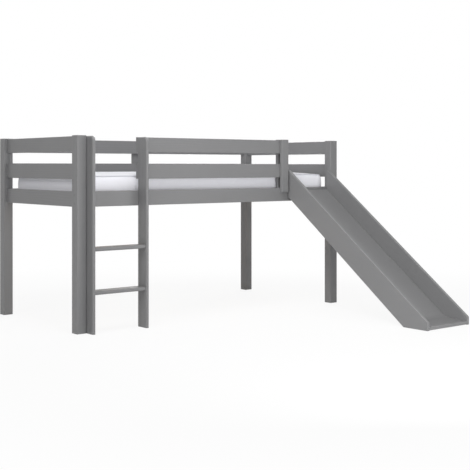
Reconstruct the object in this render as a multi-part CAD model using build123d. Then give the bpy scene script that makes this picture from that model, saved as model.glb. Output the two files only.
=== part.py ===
from build123d import *
import math
import os

# Loft bed with a straight ladder and a slide, built of lacquered pine boards.
# Millimetres, +Z up. The bed is drawn about its own middle: X runs along the bed
# from the ladder end to the slide end, -Y is the front, and Z is 0 on the floor.
# At the end everything is moved so that the origin is under the middle of the whole.

# Bed
bed_length = 2106.0
bed_width = 1003.0
post_side = 63.0
post_height = 1148.0
post_edge_radius = 5.0
post_top_radius = 3.0

# Boards of the frame
board_thickness = 22.0
board_height = 91.0
board_edge_radius = 3.0
rail_inset = 22.0
top_rail_drop = 4.0
guard_gap = 70.0
mattress_side_gap = 70.0

# Guards of the long sides
guard_batten_width = 60.0
guard_batten_lap = 30.0
guard_slide_gap = 10.0
back_guard_rise = 4.0
back_batten_width = 64.0

# Slatted base
ledge_height = 32.0
ledge_thickness = 22.0
ledge_end_gap = 5.0
slat_count = 15
slat_width = 68.0
slat_thickness = 18.0
slat_edge_radius = 2.0
slat_end_gap = 3.0
slat_first_gap = 10.0

# Ladder
ladder_width = 389.0
ladder_board_thickness = 20.0
ladder_board_depth = 92.0
ladder_top_radius = 28.0
ladder_front_radius = 9.0
ladder_back_radius = 2.0
step_count = 2
first_step_height = 246.0
step_pitch = 252.0
step_thickness = 22.0
step_depth = 78.0
step_front_inset = 12.0
step_nose_radius = 8.0
step_back_radius = 2.0
step_housing = 6.0

# Slide
slide_width = 391.5
slide_post_gap = 0.5
slide_angle = 36.4
slide_board_width = 149.0
slide_board_thickness = 20.0
slide_edge_radius = 2.5
slide_nose_height = 48.7
slide_nose_radius = 12.0
slide_top_radius = 8.0
slide_back_gap = 0.3
slide_floor_height = 36.0
slide_floor_drop = 15.0
slide_floor_thickness = 8.0
slide_floor_end_gap = 0.7
slide_groove = 6.0
slide_groove_gap = 0.2
slide_bend_radius = 120.0
slide_runout_height = 33.0
slide_lip_height = 22.0
slide_lip_clearance = 2.5
slide_lip_depth = 22.0
slide_lip_inset = 2.0
slide_lip_radius = 4.0
slide_bar_width = 45.0
slide_bar_count = 2
slide_top_bar_height = 36.0
slide_top_bar_thickness = 20.0
hook_thickness = 3.0
hook_width = 30.0
hook_from_board = 15.0
hook_bend_radius = 2.0
hook_over_gap = 0.3
hook_back_leg = 30.0

# Mattress
mattress_left_gap = 31.0
mattress_right_gap = 7.0
mattress_height = 148.0
mattress_corner_radius = 45.0
mattress_edge_inset = 11.0
mattress_gap = 0.5
mattress_back_gap = 11.0
mattress_crown = 13.0

# Bolts through the posts, with barrel nuts in the rails and caps over the heads
bolt_radius = 3.0
bolt_bore_gap = 0.25
bolt_head_radius = 7.0
bolt_head_height = 4.0
bolt_in_rail = 50.0
bolt_spacing = 50.0
head_bore_radius = 8.0
head_bore_depth = 10.0
cap_gap = 0.15
cap_thickness = 3.0
nut_radius = 5.0
nut_length = 18.0
nut_from_end = 40.0
nut_bore_gap = 0.1

# Furniture bolts that go in from the inside of the bed
inner_head_radius = 5.5
inner_head_height = 3.5
inner_head_gap = 0.5
bolt_in_batten = 14.0
bolt_in_ladder = 40.0
ladder_post_screw_length = 50.0
ladder_post_screw_from_end = 103.0

# Dowels of the end frames
dowel_radius = 4.0
dowel_in_rail = 20.0
dowel_in_post = 16.0
dowel_spacing = 44.0

# Countersunk wood screws
screw_radius = 2.0
screw_head_radius = 4.0
screw_head_height = 2.4
slat_screw_length = 35.0
step_screw_length = 50.0
step_screw_spacing = 36.0
slide_screw_length = 45.0
hook_screw_length = 18.0
hook_screw_spacing = 18.0

overrun = 1.0

# Planes and levels that the pieces share
half_length = bed_length / 2
half_width = bed_width / 2
inner_post_x = half_length - post_side
inner_post_y = half_width - post_side
front_rail_y = (-half_width + rail_inset, -half_width + rail_inset + board_thickness)
back_rail_y = (-front_rail_y[1], -front_rail_y[0])
left_rail_x = (-half_length + rail_inset, -half_length + rail_inset + board_thickness)
right_rail_x = (-left_rail_x[1], -left_rail_x[0])
front_rail_mid_y = sum(front_rail_y) / 2
back_rail_mid_y = -front_rail_mid_y

top_rail_top = post_height - top_rail_drop
middle_rail_top = top_rail_top - board_height - guard_gap
side_rail_top = middle_rail_top - board_height - mattress_side_gap
side_level = (side_rail_top - board_height, side_rail_top)
middle_level = (middle_rail_top - board_height, middle_rail_top)
top_level = (top_rail_top - board_height, top_rail_top)
back_middle_level = (middle_level[0] + back_guard_rise, middle_level[1] + back_guard_rise)
back_top_level = (top_level[0] + back_guard_rise, top_level[1] + back_guard_rise)

guard_batten_bottom = side_rail_top - guard_batten_lap
inner_batten_y = (front_rail_y[1], front_rail_y[1] + board_thickness)

ledge_top = side_level[0] + ledge_height
slat_top = ledge_top + slat_thickness

ladder_left_x = (-inner_post_x, -inner_post_x + ladder_board_thickness)
ladder_right_x = (-inner_post_x + ladder_width - ladder_board_thickness, -inner_post_x + ladder_width)
ladder_y = (front_rail_y[0] - ladder_board_depth, front_rail_y[0])
step_y = (ladder_y[0] + step_front_inset, ladder_y[0] + step_front_inset + step_depth)

slope = math.radians(slide_angle)
slide_right_x = (inner_post_x - slide_post_gap - slide_board_thickness, inner_post_x - slide_post_gap)
slide_left_x = (slide_right_x[1] - slide_width, slide_right_x[1] - slide_width + slide_board_thickness)
slide_batten_x = (slide_left_x[0] - guard_slide_gap - guard_batten_width, slide_left_x[0] - guard_slide_gap)
slide_back_y = front_rail_y[0] - slide_back_gap
slide_floor_top_z = side_rail_top - slide_floor_drop
slide_lower_z = slide_floor_top_z - slide_floor_height / math.cos(slope)
slide_upper_z = slide_lower_z + slide_board_width / math.cos(slope)
slide_foot_y = slide_back_y - slide_lower_z / math.tan(slope)
slide_nose_y = slide_back_y - (slide_upper_z - slide_nose_height) / math.tan(slope)

origin_shift = -(half_width + slide_nose_y) / 2


def span_box(x, y, z):
    """A box between two values on each axis."""
    size = (x[1] - x[0], y[1] - y[0], z[1] - z[0])
    return Pos(x[0], y[0], z[0]) * Box(*size, align=(Align.MIN, Align.MIN, Align.MIN))


def board(x, y, z, along, radius=board_edge_radius):
    """A sawn board whose four long edges, those along the given axis, are rounded."""
    blank = span_box(x, y, z)
    return fillet(blank.edges().filter_by(along), radius)


def rod(radius, length, start, direction):
    """A cylinder from a start point along a direction."""
    place = Plane(origin=start, z_dir=direction)
    return place * Cylinder(radius, length, align=(Align.CENTER, Align.CENTER, Align.MIN))


def middle(span):
    """The middle of a pair of values."""
    return sum(span) / 2


def pair_about(centre, spacing):
    """Two values, evenly about a centre."""
    return [centre - spacing / 2, centre + spacing / 2]


# Bolts through the posts along the bed


def bed_bolt_places():
    """Start point and direction of each bolt: on a post's outer end face, towards the rail."""
    places = []
    for side in (-1, 1):
        for level in pair_about(middle(side_level), bolt_spacing):
            for y in (front_rail_mid_y, back_rail_mid_y):
                places.append(((side * half_length, y, level), (-side, 0, 0)))
        for level in (middle(back_middle_level), middle(back_top_level)):
            places.append(((side * half_length, back_rail_mid_y, level), (-side, 0, 0)))
    return places


def along(place, distance):
    """The point at a distance from a place's start along its direction."""
    start, direction = place
    return tuple(s + distance * d for s, d in zip(start, direction))


def bed_bolt(place):
    """A flat-headed bolt whose head lies at the bottom of its bore in the post."""
    direction = place[1]
    seat = along(place, head_bore_depth)
    shank_length = post_side - head_bore_depth + bolt_in_rail
    face = along(place, head_bore_depth - bolt_head_height)
    head = rod(bolt_head_radius, bolt_head_height, face, direction)
    return head + rod(bolt_radius, shank_length, seat, direction)


def bed_bolt_bore(place):
    """The bore for one bolt: a wide mouth for head and cap, then the shank's hole."""
    direction = place[1]
    mouth = rod(head_bore_radius, head_bore_depth + overrun, along(place, -overrun), direction)
    shank = rod(bolt_radius + bolt_bore_gap, post_side + bolt_in_rail + overrun, along(place, 0), direction)
    return mouth + shank


def barrel_nut_axis(place):
    """Start point and direction of a barrel nut's hole, from the rail's inner face outwards."""
    x = along(place, post_side + nut_from_end)[0]
    y, z = place[0][1:]
    outward = math.copysign(1, y)
    return (x, y - outward * board_thickness / 2, z), (0, outward, 0)


def barrel_nut_hole(place):
    """The cross hole for a barrel nut, open on the rail's inner face."""
    axis = barrel_nut_axis(place)
    depth = (board_thickness + nut_length) / 2
    return rod(nut_radius + nut_bore_gap, depth + overrun, along(axis, -overrun), axis[1])


def barrel_nut(place):
    """A barrel nut, centred on the rail's thickness, with the bolt's hole across it."""
    axis = barrel_nut_axis(place)
    body = rod(nut_radius, nut_length, along(axis, (board_thickness - nut_length) / 2), axis[1])
    return body - rod(bolt_radius + nut_bore_gap, post_side + bolt_in_rail + overrun, place[0], place[1])


def bolt_cap(place):
    """A flat cover cap, flush in the mouth of the bore."""
    return rod(head_bore_radius - cap_gap, cap_thickness, place[0], place[1])


# Bolts that go in from the inside of the bed


def inner_bolt(place, length):
    """A pan-headed bolt whose head is let in flush at the place it starts from."""
    head = rod(inner_head_radius, inner_head_height, along(place, inner_head_gap), place[1])
    return head + rod(bolt_radius, length - inner_head_gap, along(place, inner_head_gap), place[1])


def inner_bolt_bore(place, length):
    """The bore for such a bolt, with the recess for its head."""
    recess_depth = inner_head_gap + inner_head_height
    recess = rod(inner_head_radius + bolt_bore_gap, recess_depth + overrun, along(place, -overrun), place[1])
    return recess + rod(bolt_radius + bolt_bore_gap, length, place[0], place[1])


def guard_bolt_places():
    """Place and length of each bolt that ties the guard rails to their battens."""
    inside = inner_batten_y[1]
    levels = (middle((guard_batten_bottom, side_rail_top)), middle(middle_level), middle(top_level))
    places = []
    for z in levels:
        through = 2 * board_thickness + bolt_in_batten
        places.append((((middle(slide_batten_x), inside, z), (0, -1, 0)), through))
    return places


def ladder_bolt_places():
    """Place and length of each bolt that holds the ladder."""
    length = board_thickness + bolt_in_ladder
    inside = front_rail_y[1]
    right = middle(ladder_right_x)
    levels = (side_level, middle_level, top_level)
    places = [(((right, inside, middle(level)), (0, -1, 0)), length) for level in levels]
    places.append((((middle(ladder_left_x), inside, middle(side_level)), (0, -1, 0)), length))
    beside_post = middle((-half_width, front_rail_y[0]))
    for z in (ladder_post_screw_from_end, top_rail_top - ladder_post_screw_from_end):
        places.append((((ladder_left_x[1], beside_post, z), (-1, 0, 0)), ladder_post_screw_length))
    return places


def back_batten_bolt_places():
    """Place and length of each bolt through a back guard rail into the middle batten."""
    inside = back_rail_y[0]
    length = board_thickness + bolt_in_batten
    spans = ((guard_batten_bottom, side_rail_top), back_middle_level, back_top_level)
    return [(((0, inside, middle(span)), (0, 1, 0)), length) for span in spans]


# Dowels of the end frames


def dowel_places():
    """Place of each dowel: it starts inside the post and points into the rail."""
    places = []
    for x in (middle(left_rail_x), middle(right_rail_x)):
        for level in (side_level, middle_level, top_level):
            for z in pair_about(middle(level), dowel_spacing):
                for side in (-1, 1):
                    start = (x, side * (inner_post_y + dowel_in_post), z)
                    places.append((start, (0, -side, 0)))
    return places


def dowel(place):
    """A fluted dowel, drawn plain, half in the post and half in the rail."""
    return rod(dowel_radius, dowel_in_post + dowel_in_rail, place[0], place[1])


# Countersunk screws


def screw(place, length):
    """A countersunk wood screw whose head is flush at the place it starts from."""
    standing = (Align.CENTER, Align.CENTER, Align.MIN)
    cone = Cone(screw_head_radius, screw_radius, screw_head_height, align=standing)
    head = Plane(origin=place[0], z_dir=place[1]) * cone
    return head + rod(screw_radius, length, place[0], place[1])


def slat_screw_places():
    """A screw down through each end of each slat into its ledge."""
    places = []
    for x in slat_middles():
        for side in (-1, 1):
            y = side * (back_rail_y[0] - ledge_thickness / 2)
            places.append((x, y, slat_top))
    return [(start, (0, 0, -1)) for start in places]


def step_top(number):
    """The height of a step's top, counted from the lowest."""
    return first_step_height + (number - 1) * step_pitch


def step_screw_places():
    """Two screws through each ladder board into each end of each step."""
    places = []
    for number in range(1, step_count + 1):
        z = step_top(number) - step_thickness / 2
        for y in pair_about(middle(step_y), step_screw_spacing):
            places.append(((ladder_left_x[0], y, z), (1, 0, 0)))
            places.append(((ladder_right_x[1], y, z), (-1, 0, 0)))
    return places


def slide_screw_places():
    """One screw through each side board into each end of each cross bar and of the lip."""
    points = [(middle(top_bar_y()), middle(top_bar_z()))]
    points += [slope_point(-distance, slide_bar_height() / 2) for distance in slide_bar_distances()]
    lip_middle_z = middle((slide_lip_clearance, slide_lip_height))
    points.append((slide_nose_y + slide_lip_inset + slide_lip_depth / 2, lip_middle_z))
    places = []
    for y, z in points:
        places.append(((slide_left_x[0], y, z), (1, 0, 0)))
        places.append(((slide_right_x[1], y, z), (-1, 0, 0)))
    return places


def hook_spans():
    """Where each hook lies along the bed, one near each side board."""
    left = slide_left_x[1] + hook_from_board
    right = slide_right_x[0] - hook_from_board
    return [(left, left + hook_width), (right - hook_width, right)]


def hook_screw_places():
    """Two screws from behind through each hook into the top bar."""
    places = []
    for x in hook_spans():
        for z in pair_about(middle(top_bar_z()), hook_screw_spacing):
            places.append(((middle(x), slide_back_y, z), (0, -1, 0)))
    return places


def hook_screws():
    """The screws of the hooks, as solids."""
    return [screw(place, hook_screw_length) for place in hook_screw_places()]


def cut_all(shape, tools):
    """Takes every tool away from a shape."""
    for tool in tools:
        shape = shape - tool
    return shape


def group(shapes):
    """Several solids as one node."""
    return Compound(list(shapes))


# Posts and rails


def post(side, front):
    """A corner post with rounded edges, bored for its bolts and dowels."""
    x = (inner_post_x, half_length) if side > 0 else (-half_length, -inner_post_x)
    y = (-half_width, -inner_post_y) if front < 0 else (inner_post_y, half_width)
    blank = board(x, y, (0, post_height), Axis.Z, post_edge_radius)
    blank = fillet(blank.faces().sort_by(Axis.Z)[-1].edges(), post_top_radius)
    near = [p for p in bed_bolt_places() if p[0][0] * side > 0 and p[0][1] * front > 0]
    blank = cut_all(blank, [bed_bolt_bore(place) for place in near])
    holes = [p for p in dowel_places() if p[0][0] * side > 0 and p[0][1] * front > 0]
    blank = cut_all(blank, [dowel(place) for place in holes])
    if side < 0 and front < 0:
        blank = cut_all(blank, ladder_bores())
    return blank


def end_rail(x, level):
    """A rail of an end frame, between a front post and a back post."""
    rail = board(x, (-inner_post_y, inner_post_y), level, Axis.Y)
    near = [p for p in dowel_places() if x[0] < p[0][0] < x[1] and level[0] < p[0][2] < level[1]]
    return cut_all(rail, [dowel(place) for place in near])


def long_rail(y, level):
    """A rail between two posts along the bed, bored for bolts and barrel nuts."""
    rail = board((-inner_post_x, inner_post_x), y, level, Axis.X)
    near = [p for p in bed_bolt_places() if y[0] < p[0][1] < y[1] and level[0] < p[0][2] < level[1]]
    rail = cut_all(rail, [bed_bolt_bore(place) for place in near])
    return cut_all(rail, [barrel_nut_hole(place) for place in near])


def guard_bores():
    return [inner_bolt_bore(place, length) for place, length in guard_bolt_places()]


def ladder_bores():
    return [inner_bolt_bore(place, length) for place, length in ladder_bolt_places()]


def back_batten_bores():
    return [inner_bolt_bore(place, length) for place, length in back_batten_bolt_places()]


def front_side_rail():
    """The front side rail, also bored for the ladder and the guard battens."""
    return cut_all(long_rail(front_rail_y, side_level), ladder_bores() + guard_bores())


def back_rail(level):
    """A rail of the back, also bored for the middle batten."""
    return cut_all(long_rail(back_rail_y, level), back_batten_bores())


def front_guard_rail(level):
    """A rail of the front guard, from the ladder to the batten beside the slide."""
    rail = board((ladder_right_x[0], slide_batten_x[1]), front_rail_y, level, Axis.X)
    return cut_all(rail, ladder_bores() + guard_bores())


def guard_batten(x, y):
    """An upright batten that ties the guard rails to the side rail, as high as the posts."""
    batten = board(x, y, (guard_batten_bottom, post_height), Axis.Z)
    return cut_all(batten, guard_bores())


def back_batten():
    """The upright in the middle of the back guard, on its outer side."""
    x = (-back_batten_width / 2, back_batten_width / 2)
    y = (back_rail_y[1], back_rail_y[1] + board_thickness)
    return cut_all(board(x, y, (guard_batten_bottom, back_top_level[1]), Axis.Z), back_batten_bores())


# Slatted base


def slat_middles():
    """The middles of the slats along X, evenly between the posts."""
    reach = inner_post_x - slat_first_gap - slat_width / 2
    pitch = 2 * reach / (slat_count - 1)
    return [-reach + number * pitch for number in range(slat_count)]


def slat(x_middle):
    """One slat across the bed, with a screw hole at each end."""
    x = (x_middle - slat_width / 2, x_middle + slat_width / 2)
    reach = back_rail_y[0] - slat_end_gap
    blank = board(x, (-reach, reach), (ledge_top, slat_top), Axis.Y, slat_edge_radius)
    near = [p for p in slat_screw_places() if x[0] < p[0][0] < x[1]]
    return cut_all(blank, [screw(place, slat_screw_length) for place in near])


def ledge(side):
    """The ledge along the inner face of a side rail, that the slats lie on."""
    y = (back_rail_y[0] - ledge_thickness, back_rail_y[0])
    y = y if side > 0 else (-y[1], -y[0])
    reach = inner_post_x - ledge_end_gap
    blank = board((-reach, reach), y, (side_level[0], ledge_top), Axis.X, slat_edge_radius)
    near = [p for p in slat_screw_places() if p[0][1] * side > 0]
    return cut_all(blank, [screw(place, slat_screw_length) for place in near])


# Ladder


def step(number):
    """A flat step with a rounded front edge, let into both ladder boards."""
    x = (ladder_left_x[1] - step_housing, ladder_right_x[0] + step_housing)
    z = (step_top(number) - step_thickness, step_top(number))
    blank = span_box(x, step_y, z)
    long_edges = blank.edges().filter_by(Axis.X).sort_by(Axis.Y)
    blank = fillet(long_edges[:2], step_nose_radius)
    back_edges = blank.edges().filter_by(Axis.X).sort_by(Axis.Y)[-2:]
    return fillet(back_edges, step_back_radius)


def drilled_step(number):
    """A step with the pilot holes of its screws."""
    return cut_all(step(number), [screw(place, step_screw_length) for place in step_screw_places()])


def ladder_board(x):
    """An upright of the ladder: well rounded front, rounded top corner, housings for the steps."""
    blank = span_box(x, ladder_y, (0, top_rail_top))
    top_front = blank.edges().filter_by(Axis.X).group_by(Axis.Z)[-1].sort_by(Axis.Y)[0]
    blank = fillet(top_front, ladder_top_radius)
    upright = blank.edges().filter_by(Axis.Z).sort_by(Axis.Y)
    blank = fillet(upright[-2:], ladder_back_radius)
    front = blank.edges().filter_by(Axis.Z).sort_by(Axis.Y)[:2]
    blank = fillet(front, ladder_front_radius)
    blank = cut_all(blank, [step(number) for number in range(1, step_count + 1)])
    blank = cut_all(blank, ladder_bores())
    return cut_all(blank, [screw(place, step_screw_length) for place in step_screw_places()])


# Slide


def slope_point(distance, height):
    """A point (y, z) given along the side boards' lower edge and square to it."""
    y = slide_back_y + distance * math.cos(slope) - height * math.sin(slope)
    z = slide_lower_z + distance * math.sin(slope) + height * math.cos(slope)
    return y, z


def side_profile(points, radii):
    """A face in the YZ plane with the given corners, each rounded by its radius if it has one."""
    face = make_face(Polyline(*[(0, y, z) for y, z in points], close=True))
    for (y, z), radius in zip(points, radii):
        if radius:
            corner = face.vertices().sort_by_distance((0, y, z))[0]
            face = fillet(corner, radius)
    return face


def extrude_x(face, x):
    """A face of the YZ plane carried from one X to another."""
    return Pos(x[0], 0, 0) * extrude(face, amount=x[1] - x[0], dir=(1, 0, 0))


def slide_side_profile():
    """A side board's outline: sloped band, cut upright at the bed, level at the floor."""
    points = [
        (slide_back_y, slide_lower_z),
        (slide_back_y, slide_upper_z),
        (slide_nose_y, slide_nose_height),
        (slide_nose_y, 0),
        (slide_foot_y, 0),
    ]
    return side_profile(points, [0, slide_top_radius, slide_nose_radius, slide_edge_radius, 0])


def floor_line():
    """The panel's upper face, seen from the side: down the slope, then the run-out to the lip."""
    back = slide_back_y - hook_thickness - slide_floor_end_gap
    back_z = slide_floor_top_z - (slide_back_y - back) * math.tan(slope)
    bend = back - (back_z - slide_runout_height) / math.tan(slope)
    front = slide_nose_y + slide_lip_inset + slide_lip_depth
    return [(back, back_z), (bend, slide_runout_height), (front, slide_lip_height)]


def moved_up(line, height):
    """A bent line moved up square to itself, with its ends kept on their own verticals."""
    (y_back, z_back), (y_bend, z_bend), (y_front, z_front) = line
    steep = math.atan2(z_back - z_bend, y_back - y_bend)
    shallow = math.atan2(z_bend - z_front, y_bend - y_front)
    mean = (steep + shallow) / 2
    reach = height / math.cos((steep - shallow) / 2)
    bend = (y_bend - reach * math.sin(mean), z_bend + reach * math.cos(mean))
    back = (y_back, z_back + height / math.cos(steep))
    return [back, bend, (y_front, z_front + height / math.cos(shallow))]


def floor_section(grow):
    """The bent floor panel seen from the side, thicker by the given gap on both faces."""
    top = [(0, y, z) for y, z in moved_up(floor_line(), grow)]
    low = [(0, y, z) for y, z in moved_up(floor_line(), -slide_floor_thickness - grow)]
    top_line = FilletPolyline(*top, radius=slide_bend_radius - grow)
    low_line = FilletPolyline(*reversed(low), radius=slide_bend_radius + slide_floor_thickness + grow)
    ends = [Line(low[0], top[0]), Line(top[-1], low[-1])]
    return make_face([*top_line.edges(), *low_line.edges(), *ends])


def slide_floor():
    """The sliding panel, in grooves of both side boards, bent level above the floor."""
    reach = slide_groove - slide_groove_gap
    return extrude_x(floor_section(0), (slide_left_x[1] - reach, slide_right_x[0] + reach))


def slide_board(x, inner_x):
    """A side board with rounded edges and the groove of the floor panel on its inner face."""
    blank = extrude_x(slide_side_profile(), x)
    rims = [face.outer_wire().edges() for face in blank.faces().filter_by(Axis.X)]
    blank = fillet([edge for rim in rims for edge in rim], slide_edge_radius)
    blank = blank - extrude_x(floor_section(slide_groove_gap), inner_x)
    return cut_all(blank, [screw(place, slide_screw_length) for place in slide_screw_places()])


def left_slide_board():
    return slide_board(slide_left_x, (slide_left_x[1] - slide_groove, slide_left_x[1] + overrun))


def right_slide_board():
    return slide_board(slide_right_x, (slide_right_x[0] - overrun, slide_right_x[0] + slide_groove))


def between_boards():
    return slide_left_x[1], slide_right_x[0]


def top_bar_y():
    back = slide_back_y - hook_thickness
    return back - slide_top_bar_thickness, back


def top_bar_z():
    """The top bar ends just under the floor panel, at the bar's front face."""
    front = slide_back_y - top_bar_y()[0]
    panel_underside = slide_floor_top_z - front * math.tan(slope) - slide_floor_thickness / math.cos(slope)
    top = panel_underside - slide_back_gap
    return top - slide_top_bar_height, top


def slide_top_bar():
    """The cross bar under the floor panel's upper end, that carries the hooks."""
    bar = board(between_boards(), top_bar_y(), top_bar_z(), Axis.X, slide_edge_radius)
    bar = cut_all(bar, hook_screws())
    return cut_all(bar, [screw(place, slide_screw_length) for place in slide_screw_places()])


def slide_bar_height():
    return slide_floor_height - slide_floor_thickness


def slide_bar_distances():
    """How far down the slope each lower cross bar lies."""
    slope_length = slide_lower_z / math.sin(slope)
    return [slope_length * number / (slide_bar_count + 1) for number in range(1, slide_bar_count + 1)]


def slide_bar(distance):
    """A cross bar flat under the floor panel, between the side boards."""
    x = between_boards()
    y = (-distance - slide_bar_width / 2, -distance + slide_bar_width / 2)
    blank = board(x, y, (0, slide_bar_height()), Axis.X, slide_edge_radius)
    bar = Pos(0, slide_back_y, slide_lower_z) * Rot(slide_angle, 0, 0) * blank
    return cut_all(bar, [screw(place, slide_screw_length) for place in slide_screw_places()])


def slide_lip():
    """The bar across the nose, just clear of the ground, level with the floor panel behind it."""
    front = slide_nose_y + slide_lip_inset
    y = (front, front + slide_lip_depth)
    blank = span_box(between_boards(), y, (slide_lip_clearance, slide_lip_height))
    top_front = blank.edges().filter_by(Axis.X).group_by(Axis.Z)[-1].sort_by(Axis.Y)[0]
    blank = fillet(top_front, slide_lip_radius)
    return cut_all(blank, [screw(place, slide_screw_length) for place in slide_screw_places()])


def slide_hook(x):
    """A bent steel hook, screwed behind the top bar, that hangs over the side rail."""
    outer_front = slide_back_y - hook_thickness
    inner_back = front_rail_y[1] + slide_back_gap + hook_thickness
    crest = side_rail_top + hook_over_gap + hook_thickness
    outline = span_box(x, (outer_front, inner_back), (top_bar_z()[0], crest))
    crown = outline.edges().filter_by(Axis.X).group_by(Axis.Z)[-1]
    outline = fillet(crown, hook_bend_radius + hook_thickness)
    hollow_y = (outer_front + hook_thickness, inner_back - hook_thickness)
    hollow = span_box(x, hollow_y, (top_bar_z()[0] - overrun, crest - hook_thickness))
    hollow = fillet(hollow.edges().filter_by(Axis.X).group_by(Axis.Z)[-1], hook_bend_radius)
    below = (top_bar_z()[0] - overrun, crest - hook_thickness - hook_back_leg)
    behind = span_box(x, (hollow_y[0] + overrun, inner_back + overrun), below)
    return outline - hollow - behind


def slide_hooks():
    """Both hooks, with the holes of their screws."""
    return group([cut_all(slide_hook(x), hook_screws()) for x in hook_spans()])


# Mattress


def mattress_x():
    """The mattress lies a little nearer to the slide's end."""
    return left_rail_x[1] + mattress_left_gap, right_rail_x[0] - mattress_right_gap


def mattress_y():
    """The mattress lies just behind the battens of the front guard."""
    return inner_batten_y[1] + mattress_gap, back_rail_y[0] - mattress_back_gap


def mattress():
    """A foam mattress: rounded sides drawn in at the top and bottom, and a crowned top."""
    x, y = mattress_x(), mattress_y()
    length, width = x[1] - x[0], y[1] - y[0]
    bottom = slat_top + mattress_gap
    border = mattress_height - mattress_crown
    # Each row: how far in from the side, as a share of the edge's inset or the half
    # width, and how high, as a share of the border or of the crown.
    side_shares = [(1.0, 0.0), (0.2, 0.12), (0.0, 0.5), (0.2, 0.86), (0.9, 1.0)]
    crown_shares = [(0.09, 0.36), (0.2, 0.68), (0.36, 0.9), (0.6, 1.0)]
    rows = [(mattress_edge_inset * inset, bottom + border * high) for inset, high in side_shares]
    rows += [(width / 2 * inset, bottom + border + mattress_crown * high) for inset, high in crown_shares]
    sections = []
    for inset, z in rows:
        radius = max(mattress_corner_radius - inset, mattress_corner_radius / 2)
        outline = RectangleRounded(length - 2 * inset, width - 2 * inset, radius)
        sections.append(Pos(middle(x), middle(y), z) * outline)
    return loft(sections, ruled=True)


def frame_nodes():
    """The posts, the end rails, the side rails and the guards."""
    nodes = {
        "post_front_left": post(-1, -1),
        "post_front_right": post(1, -1),
        "post_back_left": post(-1, 1),
        "post_back_right": post(1, 1),
    }
    levels = {"lower": side_level, "middle": middle_level, "top": top_level}
    for name, level in levels.items():
        nodes[f"left_end_{name}_rail"] = end_rail(left_rail_x, level)
        nodes[f"right_end_{name}_rail"] = end_rail(right_rail_x, level)
    nodes["front_side_rail"] = front_side_rail()
    nodes["back_side_rail"] = back_rail(side_level)
    nodes["back_guard_lower_rail"] = back_rail(back_middle_level)
    nodes["back_guard_top_rail"] = back_rail(back_top_level)
    nodes["back_guard_batten"] = back_batten()
    nodes["front_guard_lower_rail"] = front_guard_rail(middle_level)
    nodes["front_guard_top_rail"] = front_guard_rail(top_level)
    outer_y = (-half_width, front_rail_y[0])
    nodes["slide_side_outer_batten"] = guard_batten(slide_batten_x, outer_y)
    nodes["slide_side_inner_batten"] = guard_batten(slide_batten_x, inner_batten_y)
    return nodes


def base_nodes():
    """The ledges and the slats."""
    nodes = {"front_slat_ledge": ledge(-1), "back_slat_ledge": ledge(1)}
    for number, x in enumerate(slat_middles(), start=1):
        nodes[f"slat_{number:02d}"] = slat(x)
    return nodes


def ladder_nodes():
    """The ladder's uprights and steps."""
    boards = {"left": ladder_left_x, "right": ladder_right_x}
    nodes = {f"ladder_{name}_board": ladder_board(x) for name, x in boards.items()}
    for number in range(1, step_count + 1):
        nodes[f"ladder_step_{number}"] = drilled_step(number)
    return nodes


def slide_nodes():
    """The slide's boards, panel, bars and hooks."""
    return {
        "slide_left_board": left_slide_board(),
        "slide_right_board": right_slide_board(),
        "slide_floor": slide_floor(),
        "slide_top_bar": slide_top_bar(),
        "slide_lower_bars": group([slide_bar(distance) for distance in slide_bar_distances()]),
        "slide_lip": slide_lip(),
        "slide_hooks": slide_hooks(),
    }


def hardware_nodes():
    """Bolts, nuts, caps, dowels and screws, like pieces together."""
    inner = {
        "guard_bolts": guard_bolt_places() + back_batten_bolt_places(),
        "ladder_bolts": ladder_bolt_places(),
    }
    nodes = {name: group([inner_bolt(*item) for item in items]) for name, items in inner.items()}
    nodes["bed_bolts"] = group([bed_bolt(place) for place in bed_bolt_places()])
    nodes["barrel_nuts"] = group([barrel_nut(place) for place in bed_bolt_places()])
    nodes["bolt_caps"] = group([bolt_cap(place) for place in bed_bolt_places()])
    nodes["end_rail_dowels"] = group([dowel(place) for place in dowel_places()])
    nodes["slat_screws"] = group([screw(place, slat_screw_length) for place in slat_screw_places()])
    nodes["ladder_screws"] = group([screw(place, step_screw_length) for place in step_screw_places()])
    nodes["hook_screws"] = group(hook_screws())
    nodes["slide_screws"] = group([screw(place, slide_screw_length) for place in slide_screw_places()])
    return nodes


def main():
    """Builds every node and writes each to its own file."""
    nodes = {}
    for made in (frame_nodes(), base_nodes(), ladder_nodes(), slide_nodes(), hardware_nodes()):
        nodes.update(made)
    nodes["mattress"] = mattress()
    os.makedirs("parts", exist_ok=True)
    for name, shape in nodes.items():
        export_step(Pos(0, origin_shift, 0) * shape, f"parts/{name}.step")
    print(f"{len(nodes)} nodes, slide nose at {slide_nose_y:.1f}, origin moved by {origin_shift:.1f}")


main()
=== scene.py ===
"""Looks of a loft bed with a slide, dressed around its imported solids.

The boards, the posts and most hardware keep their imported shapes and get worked-out finishes. The mattress,
its piping, the guard and ladder bolts and the slat screws are new pieces. Everything is in metres, in the
row's frame: X along the bed, +Y towards its back, +Z up.
"""

from __future__ import annotations

import logging
import math
from dataclasses import dataclass, field
from enum import Enum

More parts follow.
